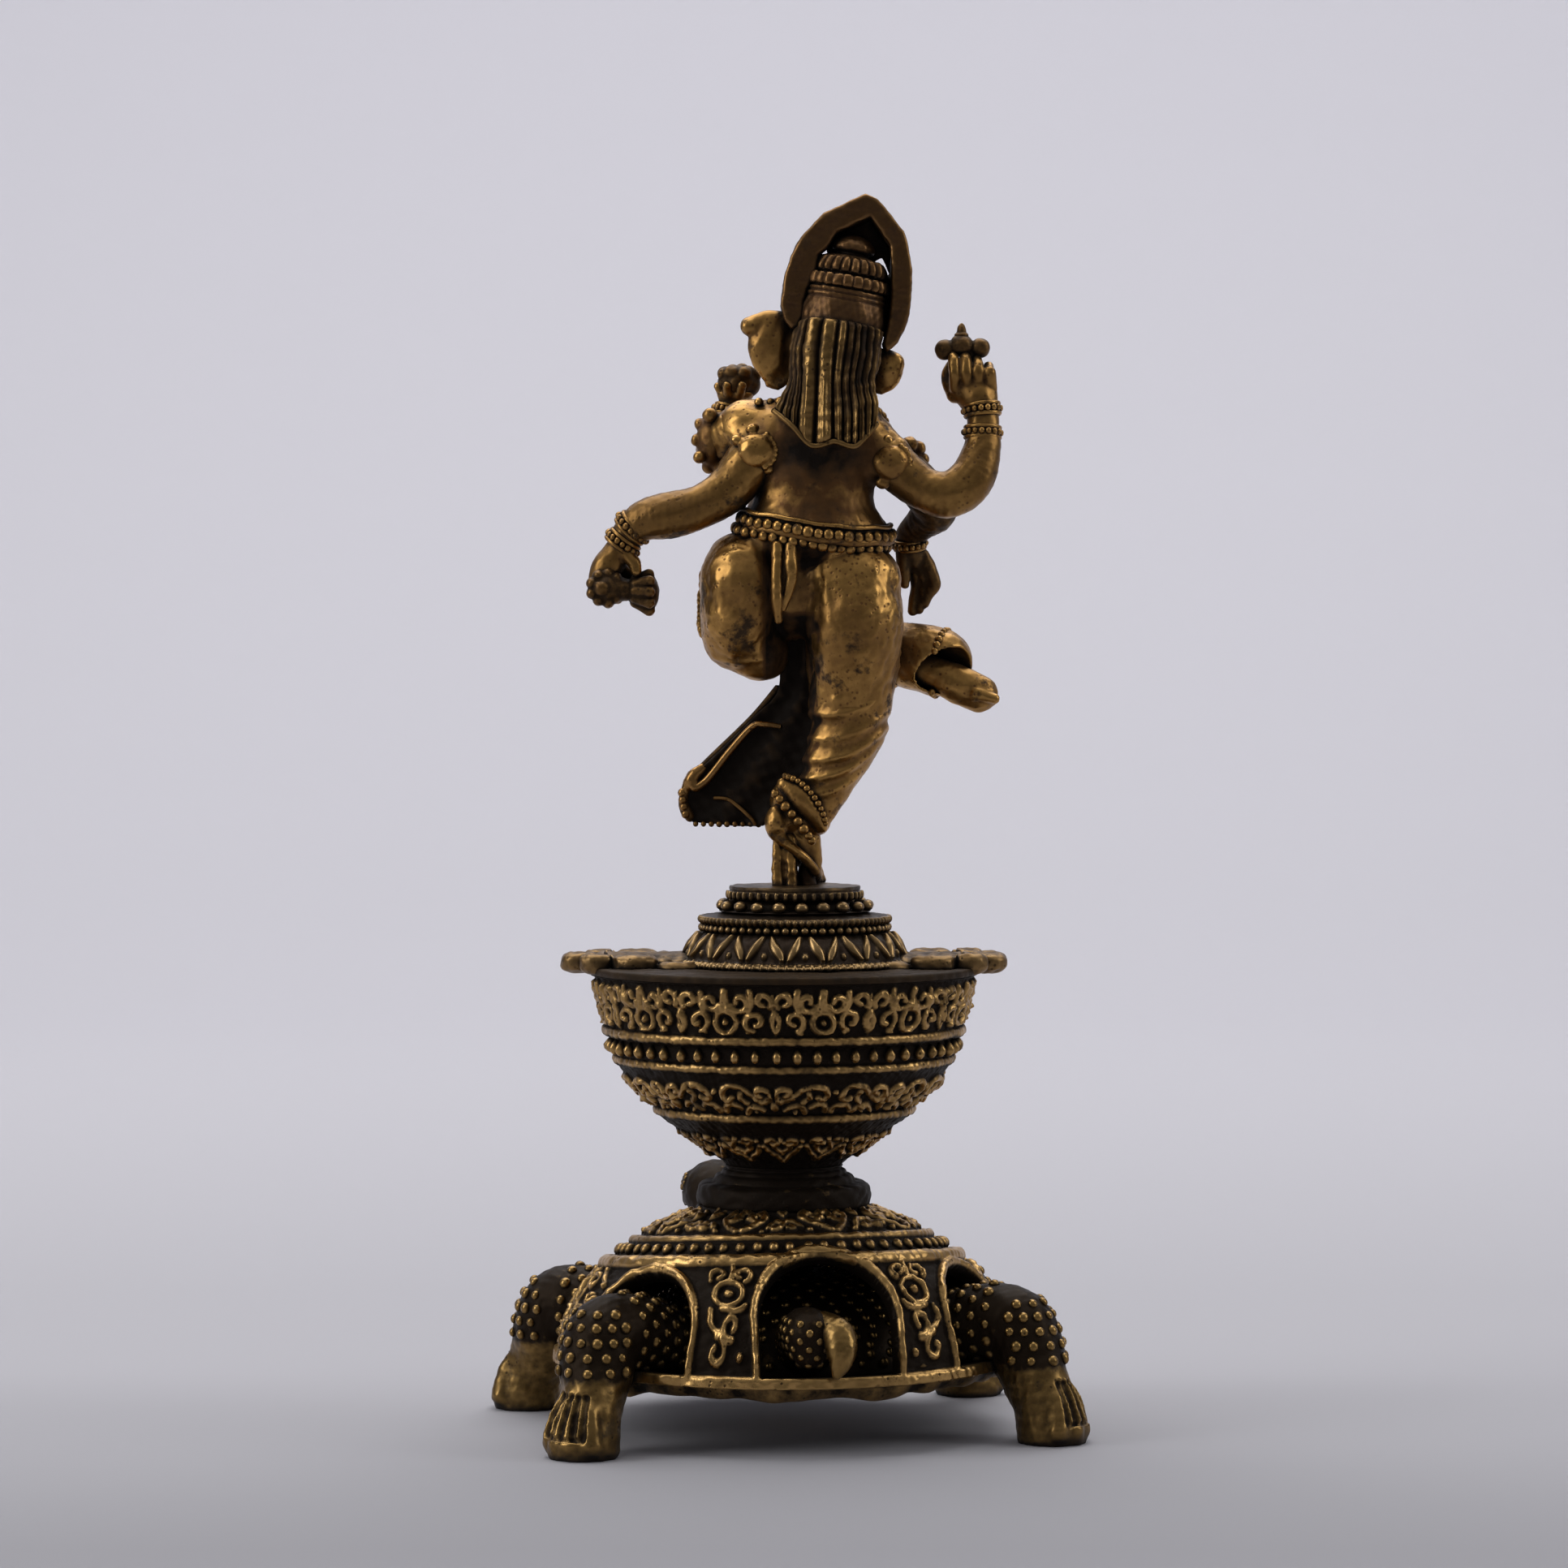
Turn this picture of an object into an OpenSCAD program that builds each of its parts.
// Cast brass dancing figure on a lotus base, standing on the lid of a lotus bowl that a tortoise carries.
// The tortoise looks along +Y and its feet stand on Z = 0. The origin is under the middle of the whole.
// The bowl and the tortoise share one upright axis, and the figure above is turned a little about it.

/* [Tortoise] */
// Radius of the shell at its lower edge
shell_radius = 22.6; // [21:0.2:24]
// Height of the shell's lower edge above the ground
shell_base_z = 6.8; // [6.4:0.1:7.4]
// Height of the flat seat on top of the shell
shell_seat_z = 22.5; // [21.5:0.5:23.5]
// Thickness of the cast shell
shell_wall = 1.4; // [1:0.1:1.8]
// How far the dome of the shell tips towards the head, in degrees
shell_tip = 6; // [0:1:8]
// Reach of the snout in front of the bowl's axis
head_reach = 39.6; // [37:0.2:42]
// Reach of the tail's claw behind the bowl's axis
tail_reach = 26.2; // [24:0.2:28]
// Half the distance between a left foot and a right foot
foot_x = 23.4; // [22:0.2:25]
// Half the distance between a front foot and a rear foot
foot_y = 17; // [16:0.2:18]

/* [Bowl] */
// Height of the turned foot between the shell and the bowl
bowl_foot_h = 4; // [3:0.5:5]
// Height of the ledge that carries the lid
bowl_ledge_z = 45.8; // [44:0.2:48]
// Radius of the opening inside the ledge
bowl_mouth_r = 16.9; // [16:0.1:17.2]
// Reach of the petalled plate to the left and right of the bowl's axis
rim_radius = 22.7; // [22:0.1:24]
// Thickness of the petalled plate
rim_h = 2.4; // [2:0.1:2.8]

/* [Lid and lotus base] */
// Radius of the lid plate
lid_radius = 18; // [17.6:0.1:18.05]
// Thickness of the lid plate
lid_h = 0.8; // [0.8:0.1:1]
// Radius of the lotus base at its lip
lotus_radius = 12.05; // [11:0.1:13]
// Height of the lotus base
lotus_h = 3.55; // [3:0.05:4]
// Number of large beads under the top plate
large_beads = 20; // [12:1:24]

/* [Figure] */
// Turn of the figure about the bowl's axis, in degrees
figure_turn = -12; // [-30:1:30]
// Thickness of the ears
ear_h = 1.6; // [1:0.2:2.4]
// Depth of the flame arch round the crown
arch_h = 3.4; // [2.4:0.1:3.6]
// Thickness of the plate that closes the front of the arch
arch_plate_h = 0.8; // [0.6:0.1:1]

/* [Hidden] */

limb_fn = 12;
row_y = (tail_reach - head_reach) / 2;
seat_radius = 8.75;
bolt_r = 1.5;
bolt_gap = 0.1;
bowl_base_z = shell_seat_z + bowl_foot_h;
bowl_floor_z = bowl_base_z + 1.4;
bowl_h = bowl_ledge_z - bowl_base_z;
lid_top_z = bowl_ledge_z + lid_h;
step_z = lid_top_z + lotus_h;
neck_z = step_z + 1.9;
plate_z = neck_z + 1.95;
stand_z = plate_z + 0.7;
post_x = 0.35;
post_r = 1.1;
lotus_x = 1.1;
brass = "#9a7a3c";
dark_brass = "#5c4423";
red_brass = "#7a5230";
steel = "#8c8a84";

// Frames: the tortoise's own, and the figure's, whose back is turned to -Y.
module tortoise_frame() translate([0, row_y, 0]) children();
module figure_frame() tortoise_frame() rotate([0, 0, figure_turn]) children();

// A ball is [x, y, z, radius]. A limb joins each ball to the next, a blob joins all of them.
module ball(b) translate([b[0], b[1], b[2]]) sphere(r = b[3], $fn = limb_fn);
module blob(balls) hull() for (b = balls) ball(b);
module limb(balls) for (i = [0 : len(balls) - 2]) blob([balls[i], balls[i + 1]]);
module round_bar(r, z0, z1) translate([0, 0, z0]) cylinder(r = r, h = z1 - z0, $fn = 48);
module ring(big_r, small_r) rotate_extrude($fn = 48) translate([big_r, 0]) circle(small_r, $fn = 24);

// ---- Tortoise ----

// Height of the dome above its base plane at radius r.
function dome_h(r, reach, rise) = rise * sqrt(max(0, 1 - r * r / (reach * reach)));

module dome_solid(reach, rise) {
    skirt = 3;
    steps = 14;
    rotate_extrude($fn = 72) polygon(concat([[0, -skirt], [reach, -skirt]],
        [for (i = [0 : steps]) let (r = reach * cos(90 * i / steps)) [r, dome_h(r, reach, rise)]]));
}

// Outline of one window in the shell: straight sides and a rounded top.
module window_outline(half_w, side_h, top_h) {
    polygon(concat([[half_w, -4], [half_w, side_h]],
        [for (a = [10 : 10 : 170]) [half_w * cos(a), side_h + (top_h - side_h) * sin(a)]],
        [[-half_w, side_h], [-half_w, -4]]));
}

module window(turn, half_w, side_h, top_h) {
    rotate([0, 0, turn]) translate([14, 0, shell_base_z]) rotate([90, 0, 90])
        linear_extrude(14) window_outline(half_w, side_h, top_h);
}

module carapace() color(dark_brass) tortoise_frame() {
    dome_rise = 16.2;
    difference() {
        intersection() {
            union() {
                translate([0, 0, shell_base_z]) rotate([-shell_tip, 0, 0]) difference() {
                    dome_solid(shell_radius, dome_rise);
                    dome_solid(shell_radius - shell_wall, dome_rise - shell_wall);
                }
                round_bar(seat_radius, shell_seat_z - 3.2, shell_seat_z);
            }
            round_bar(shell_radius + 3, shell_base_z, shell_seat_z);
        }
        for (turn = [-90, 90]) window(turn, 6.6, 5.6, 11);
        for (turn = [-36, 36, 144, 216]) window(turn, 6.4, 4.4, 9.4);
        round_bar(bolt_r + bolt_gap, 0, 40);
    }
}

module belly_plate() color(dark_brass) tortoise_frame() {
    round_bar(shell_radius - 0.6, shell_base_z - 1.2, shell_base_z);
}

// The hollow body inside the shell, which closes the windows behind the legs, the head and the tail.
module tortoise_body() color(dark_brass) tortoise_frame() translate([0, 0, shell_base_z]) {
    body_r = 16.6;
    body_rise = 9.2;
    difference() {
        dome_solid(body_r, body_rise);
        dome_solid(body_r - shell_wall, body_rise - shell_wall);
        round_bar(shell_radius, -5, 0);
    }
}

module leg(side_x, side_y) tortoise_frame() mirror([side_x < 0 ? 1 : 0, 0, 0]) {
    mirror([0, side_y < 0 ? 1 : 0, 0]) {
        sole_r = 3.6;
        out = atan2(foot_y, foot_x);
        blob([[15.5, 9.6, 10, 3.5], [20.4, 12.7, 10.9, 4.1]]);
        blob([[20.4, 12.7, 10.9, 4.1], [22, 15, 5.6, 3.2]]);
        translate([foot_x, foot_y, 0]) rotate([0, 0, out]) hull() {
            translate([-1.2, 0, 0]) cylinder(r = sole_r, h = 5.4, $fn = 32);
            translate([1.2, 0, 0]) cylinder(r = sole_r, h = 3.4, $fn = 32);
        }
        translate([foot_x, foot_y, 0]) cylinder(r = sole_r - 0.3, h = 1, $fn = 48);
    }
}

module leg_front_left() color(brass) leg(-1, 1);
module leg_front_right() color(brass) leg(1, 1);
module leg_rear_left() color(brass) leg(-1, -1);
module leg_rear_right() color(brass) leg(1, -1);

module tortoise_head() color(brass) tortoise_frame() {
    snout_r = 2.5;
    limb([[0, 15.6, 10.4, 4], [0, 25, 13.2, 3.6], [0, 31.4, 17.6, 3.5], [0, 34.6, 20.6, 4]]);
    blob([[0, 34.6, 20.6, 4], [0, head_reach - snout_r, 20, snout_r]]);
}

module tortoise_tail() color(brass) tortoise_frame() {
    claw_r = 1.4;
    limb([[-1, -15, 9, 2.6], [-1.8, -20.2, 12.6, 2.3], [-0.8, -22.6, 12.8, 2.1],
        [0.2, -tail_reach + claw_r, 11.6, claw_r], [0.2, -tail_reach + 1.1, 8.6, 0.7]]);
}

// ---- Bowl ----

module bowl_foot() color(dark_brass) tortoise_frame() difference() {
    union() {
        round_bar(seat_radius, shell_seat_z, shell_seat_z + 2.1);
        round_bar(7.05, shell_seat_z + 2.1, shell_seat_z + 2.9);
        round_bar(5.9, shell_seat_z + 2.9, bowl_base_z);
    }
    round_bar(bolt_r + bolt_gap, shell_seat_z - 1, bowl_base_z + 1);
}

module bowl() color(dark_brass) tortoise_frame() {
    outer = [[5.9, 0], [7.4, 1.2], [9.3, 2.8], [11.5, 4.1], [13.2, 5.3], [13.2, 6.1], [15.4, 7.8],
        [17.05, 10.4], [17.05, 11.4], [18.2, 13.1], [18.2, 14.15], [19.15, 17.6], [19.6, bowl_h]];
    inner = [[bowl_mouth_r, bowl_h], [bowl_mouth_r, bowl_h - 1], [17.9, bowl_h - 2.1],
        [16.9, 14.2], [16, 11.4], [14.2, 8.2], [12.1, 6.4], [10.2, 5.3], [8, 4], [6, 2.4], [4.4, 1.4]];
    hole_r = bolt_r + bolt_gap;
    translate([0, 0, bowl_base_z]) rotate_extrude($fn = 96)
        polygon(concat([[hole_r, 0]], outer, inner, [[hole_r, 1.4]]));
}

module bowl_bead_band() color(brass) tortoise_frame() translate([0, 0, bowl_base_z]) {
    rotate_extrude($fn = 96) polygon([[17.05, 11.4], [17.9, 11.4], [18.3, 12.2], [18.2, 13.1]]);
}

module petalled_outline() {
    petal_r = 2.4;
    square([34, 13], center = true);
    for (side = [-1, 1], edge = [-1, 1], seat = [[rim_radius - petal_r, 0], [18.7, 3.3], [14.8, 4.7], [10.4, 5.2]])
        translate([side * seat[0], edge * seat[1]]) circle(r = petal_r, $fn = 32);
}

// The petalled plate lies across the mouth. Its two ends are part of the bowl, its middle is part of the lid.
module petalled_plate(low, high) tortoise_frame() rotate([0, 0, figure_turn]) translate([0, 0, low])
    linear_extrude(high - low) petalled_outline();

module bowl_rim() color(brass) difference() {
    union() {
        tortoise_frame() round_bar(19.7, bowl_ledge_z, lid_top_z);
        petalled_plate(bowl_ledge_z + 0.1, bowl_ledge_z + rim_h);
    }
    tortoise_frame() round_bar(18.2, bowl_ledge_z - 1, bowl_ledge_z + rim_h + 1);
}

module bowl_bolt() color(steel) tortoise_frame() {
    round_bar(bolt_r, shell_seat_z - 5.8, bowl_floor_z + 0.5);
    round_bar(2.9, bowl_floor_z + 0.5, bowl_floor_z + 2.3);
}

module bowl_washer() color(steel) tortoise_frame() difference() {
    round_bar(3.8, bowl_floor_z, bowl_floor_z + 0.5);
    round_bar(bolt_r + bolt_gap, bowl_floor_z - 1, bowl_floor_z + 1);
}

module bowl_nut() color(steel) tortoise_frame() difference() {
    translate([0, 0, shell_seat_z - 5.6]) cylinder(r = 2.9, h = 2.4, $fn = 6);
    round_bar(bolt_r, shell_seat_z - 8, shell_seat_z);
}

// ---- Lid and lotus base ----

module spigot_hole(z0, z1) figure_frame() translate([post_x, 0, 0]) round_bar(1.5, z0, z1);

module cover_plate() color(dark_brass) difference() {
    union() {
        tortoise_frame() round_bar(lid_radius, bowl_ledge_z, lid_top_z);
        intersection() {
            petalled_plate(lid_top_z - 0.1, bowl_ledge_z + rim_h);
            tortoise_frame() round_bar(lid_radius - 0.1, bowl_ledge_z, bowl_ledge_z + rim_h + 1);
        }
    }
    lotus_frame() round_bar(11, lid_top_z, bowl_ledge_z + rim_h + 1);
    spigot_hole(bowl_ledge_z - 1, lid_top_z + 1);
}

module lotus_frame() figure_frame() translate([lotus_x, 0, 0]) children();

module lotus_base() color(dark_brass) difference() {
    lotus_frame() translate([0, 0, lid_top_z]) rotate_extrude($fn = 72) polygon([[0, 1.8], [10.2, 1.4],
        [10.6, 0], [lotus_radius, 0], [lotus_radius, 0.55], [11.75, 0.6], [11.6, 1.7], [11.3, 2.4],
        [10.7, 3.1], [9.9, lotus_h], [0, lotus_h]]);
    spigot_hole(lid_top_z, step_z + 1);
}

module pedestal_step() color(brass) difference() {
    lotus_frame() translate([0, 0, step_z]) rotate_extrude($fn = 72) polygon([[0, 0], [9.1, 0],
        [9.1, 0.7], [9.7, 0.95], [9.75, 1.35], [9.3, 1.6], [7.4, 1.9], [0, 1.9]]);
    spigot_hole(step_z - 1, neck_z + 1);
}

module pedestal_bead_ring() color(brass) lotus_frame() translate([0, 0, step_z + 0.36]) {
    ring(9.44, 0.36);
}

module pedestal_beads() color(brass) lotus_frame() translate([0, 0, neck_z + 0.7]) {
    for (i = [0 : large_beads - 1]) rotate([0, 0, i * 360 / large_beads])
        translate([7.3, 0, 0]) sphere(r = 0.74, $fn = 24);
}

module pedestal_top() color(brass) difference() {
    lotus_frame() {
        round_bar(6.8, neck_z, plate_z);
        round_bar(6.55, plate_z, stand_z);
    }
    spigot_hole(neck_z - 1, stand_z + 1);
}

module heel_post() color(dark_brass) figure_frame() translate([post_x, 0, 0]) {
    round_bar(1.4, bowl_ledge_z - 3, stand_z);
    round_bar(post_r, stand_z, 59.6);
}

module pedestal_nut() color(steel) figure_frame() translate([post_x, 0, 0]) difference() {
    translate([0, 0, bowl_ledge_z - 2.2]) cylinder(r = 2.9, h = 2.2, $fn = 6);
    round_bar(1.4, bowl_ledge_z - 4, bowl_ledge_z + 1);
}

// ---- Figure: legs and lower dress ----

module standing_foot() color(brass) figure_frame() {
    limb([[-0.7, 0, 60.8, 1.7], [0.9, 1.7, 58.2, 1.6], [2.9, 3.5, 56, 1.35]]);
}

module standing_leg() color(brass) figure_frame() {
    limb([[5.9, 0.6, 81, 5.1], [6.9, 1.6, 72, 4], [4.7, 1.2, 66.2, 3], [2.3, 0.8, 62.4, 2.3]]);
}

module raised_leg() color(brass) figure_frame() {
    limb([[-3, 2, 83, 4.6], [-5.2, 9.6, 81.6, 4.1], [3.6, 10.6, 79.8, 3.4], [11.5, 8.8, 78.3, 3],
        [15, 8.1, 76.8, 2.8]]);
}

module raised_foot() color(brass) figure_frame() {
    limb([[15.5, 8, 76.4, 1.9], [18.5, 7.7, 74.8, 1.7], [20.2, 7.5, 73.9, 1.5], [21.7, 7.6, 73, 0.8]]);
}

module sash_panel() color(brass) figure_frame() {
    blob([[4, 2.6, 77, 1.2], [0.4, 3.8, 73.4, 1.1], [-10, 6.6, 62.6, 0.7], [-9.3, 6.4, 61, 0.7],
        [-2.2, 5.6, 60.9, 0.8]]);
}

module back_pleats() color(brass) figure_frame() {
    limb([[-0.6, -3.7, 88.2, 0.8], [-0.7, -4.1, 83, 0.8]]);
    limb([[1.1, -3.7, 88.2, 0.8], [0.9, -4.1, 82.4, 0.8]]);
}

// ---- Figure: body ----

module torso() color(brass) figure_frame() {
    blob([[-2.9, 0.6, 84.2, 4.8], [5.8, 0.6, 84.6, 5.2], [2.8, 4.6, 89.4, 6.4]]);
    blob([[2.8, 4.6, 89.4, 6.4], [3, 0.6, 93, 5.4], [0.6, 0.8, 98.8, 3.4], [6.8, 0.8, 98.6, 3.4]]);
    limb([[3.8, 0.8, 99.4, 4], [5.2, 1, 104.6, 3.6]]);
}

module belt() color(brass) figure_frame() translate([2.7, 1.9, 89.8]) ring(7.7, 0.8);

module necklace() color(brass) figure_frame() translate([4.4, 2.2, 101.2]) rotate([-30, 0, 0]) {
    ring(4.4, 0.6);
}

module hair_fall() color(brass) figure_frame() {
    blob([[3.3, -1.7, 110, 1.5], [8, -1.7, 109.6, 1.5], [2.7, -2.4, 106.6, 1.5], [7.2, -2.4, 106.4, 1.5]]);
    blob([[2.7, -2.4, 106.6, 1.5], [7.2, -2.4, 106.4, 1.5], [0, -3.4, 102.8, 0.8], [2.9, -4, 100, 0.8],
        [7.6, -4, 100.2, 0.8], [9, -3.2, 102, 0.8]]);
}

module head() color(brass) figure_frame() {
    blob([[5.6, 1.4, 108.7, 4.6], [4.4, 4.4, 108.4, 2.6], [6.8, 4.4, 108.3, 2.6], [5.5, 5.4, 106.6, 2.2]]);
}

module trunk() color(brass) figure_frame() {
    limb([[5.5, 6, 107, 2.1], [5.1, 8.6, 104, 1.8], [4.2, 9.2, 100.6, 1.5], [2.6, 9.8, 98, 1.2],
        [0.4, 9.8, 97.4, 1], [-0.8, 9.4, 98.8, 0.8]]);
}

module tusks() color(brass) figure_frame() {
    limb([[3, 6.4, 105.9, 0.8], [2, 8.7, 104.4, 0.5]]);
    limb([[8, 6.4, 105.7, 0.8], [8.9, 8.5, 104.4, 0.5]]);
}

// An ear stands upright in its own plane: outline points [x, z], a little apart from the neck.
module ear_plate(y, outline, turn) translate([outline[0][0], y, 0]) rotate([0, 0, turn]) {
    hull() for (p = outline) translate([p[0] - outline[0][0], 0, p[1]]) rotate([90, 0, 0])
        cylinder(r = 0.7, h = ear_h, center = true, $fn = 20);
}

module ear_left() color(brass) figure_frame() {
    ear_plate(1.6, [[1.9, 109.4], [0.1, 111.5], [-2, 112], [-3.2, 110.6], [-3, 107.4], [-0.6, 104.6],
        [1.9, 105.4]], 0);
}

module ear_right() color(brass) figure_frame() {
    ear_plate(1.6, [[9.2, 109], [10.6, 108.4], [11.2, 106.8], [10.4, 105.2], [9.2, 104.8]], 0);
}

module crown() color(red_brass) figure_frame() translate([5.7, 0.6, 111.3]) rotate([0, 10, 0]) {
    rotate_extrude($fn = 48) polygon([[0, -0.8], [4.2, -0.8], [4.35, 0.9], [4.1, 1.4], [4, 2.6],
        [4.15, 3.2], [3.9, 4.4], [3.5, 4.8], [3.3, 5.9], [2, 6.6], [1.4, 7], [1.9, 7.3], [2.1, 7.8],
        [1.5, 8.7], [0, 9.2]]);
}

// The flame arch is a deep band that comes to a point above the crown. A plate closes its front,
// but for two small gaps beside the top of the crown.
module flame_arch() color(red_brass) figure_frame() rotate([90, 0, 0]) {
    arch_back_y = -1.3;
    arch_front_y = arch_back_y + arch_h;
    outer = [[0.3, 111.3], [-0.3, 113], [0.3, 116.6], [1.3, 119.4], [3.1, 121.6], [5.6, 123.1], [8.3, 124.4],
        [9.7, 123.6], [11.1, 121.4], [12.4, 119.5], [12.9, 116.6], [12.7, 113], [12.1, 110.9], [10.9, 108.5]];
    inner = [[9.4, 108.6], [10.5, 111.3], [10.7, 116.2], [10.6, 119.3], [8.5, 122.1], [5.6, 120.6],
        [4.3, 119.3], [3.4, 117.9], [2.9, 115.8], [1.9, 113.8], [1.6, 111.2]];
    translate([0, 0, -arch_front_y]) linear_extrude(arch_h) polygon(concat(outer, inner));
    translate([0, 0, -arch_front_y - arch_plate_h]) linear_extrude(arch_plate_h) difference() {
        polygon(outer);
        polygon([[3.6, 118.2], [4.5, 118.5], [4.4, 119]]);
        polygon([[8.7, 117.2], [9.9, 118], [10.5, 116.5], [10, 116.2]]);
    }
}

// ---- Figure: arms and what they hold ----

module arm_rear_left() color(brass) figure_frame() {
    limb([[-0.3, 0.6, 99.6, 2.7], [-3.4, 0, 97.6, 2.4], [-7.8, -0.5, 93.6, 2], [-14.9, 0.4, 90.8, 1.5],
        [-17.3, 0.8, 87.4, 1.6], [-17, 0.6, 85.6, 1.2]]);
}

module lotus_bud() color(dark_brass) figure_frame() {
    limb([[-17.6, -0.8, 84.9, 2.1], [-14.2, 0.6, 84.6, 1.9]]);
}

module arm_rear_right() color(brass) figure_frame() {
    limb([[8, 0.6, 98.6, 2.9], [11.5, 0, 96.8, 2.4], [17.4, -0.9, 93.6, 2.1], [19.4, 0, 97.4, 1.8],
        [19.9, 0.5, 101.4, 1.6], [19, 0.9, 105.8, 1.8]]);
}

module held_finial() color(dark_brass) figure_frame() {
    limb([[18.9, 1, 106.8, 1.2], [18, 1.4, 109, 1.5], [17.6, 1.4, 110.6, 0.6]]);
    limb([[16, 1.4, 108.4, 0.8], [20, 1.4, 108.8, 0.8]]);
}

module arm_front_left() color(brass) figure_frame() {
    limb([[-0.6, 2.6, 100, 2.8], [-4.3, 3.2, 100.4, 2.9], [-6.6, 6.4, 98.8, 2], [-5.6, 7.8, 102.4, 1.5],
        [-5.2, 8, 104.6, 1.4]]);
}

module sweet_bowl() color(dark_brass) figure_frame() {
    translate([-4.7, 8.4, 106.4]) sphere(r = 2.3, $fn = 32);
}

module arm_front_right() color(brass) figure_frame() {
    limb([[8.8, 2.6, 98.8, 2.6], [16.6, 5, 92.8, 2.1], [13.4, 8.4, 91, 1.6], [13.4, 9.4, 86.8, 1.6],
        [14.4, 9.6, 83.4, 0.9]]);
}

// A tight ring round a limb, at a point, tipped by two angles.
module limb_ring(place, tip_x, tip_y, big_r, small_r) translate(place) rotate([tip_x, tip_y, 0]) {
    ring(big_r, small_r);
}

module armlets() color(brass) figure_frame() {
    limb_ring([-3.4, 0, 97.6], 0, 52, 2.5, 0.55);
    limb_ring([11.5, 0, 96.8], 0, 118, 2.5, 0.55);
}

module bracelets() color(brass) figure_frame() {
    limb_ring([-14.9, 0.4, 90.8], 0, 68, 1.75, 0.45);
    limb_ring([19.9, 0.5, 101.4], 0, 8, 1.85, 0.45);
    limb_ring([19.7, 0.3, 99.2], 0, 8, 1.85, 0.45);
}

module anklets() color(brass) figure_frame() {
    limb_ring([2.1, 0.7, 62.2], 0, 28, 2.3, 0.55);
    limb_ring([15.2, 8.1, 76.6], 0, 108, 2.6, 0.55);
}

belly_plate();
carapace();
tortoise_body();
tortoise_head();
tortoise_tail();
leg_front_left();
leg_front_right();
leg_rear_left();
leg_rear_right();
bowl_foot();
bowl();
bowl_bead_band();
bowl_rim();
bowl_bolt();
bowl_washer();
bowl_nut();
cover_plate();
lotus_base();
pedestal_step();
pedestal_bead_ring();
pedestal_beads();
pedestal_top();
heel_post();
pedestal_nut();
standing_foot();
standing_leg();
raised_leg();
raised_foot();
sash_panel();
back_pleats();
torso();
belt();
necklace();
hair_fall();
head();
trunk();
tusks();
ear_left();
ear_right();
crown();
flame_arch();
arm_rear_left();
arm_rear_right();
arm_front_left();
arm_front_right();
armlets();
bracelets();
anklets();
lotus_bud();
held_finial();
sweet_bowl();
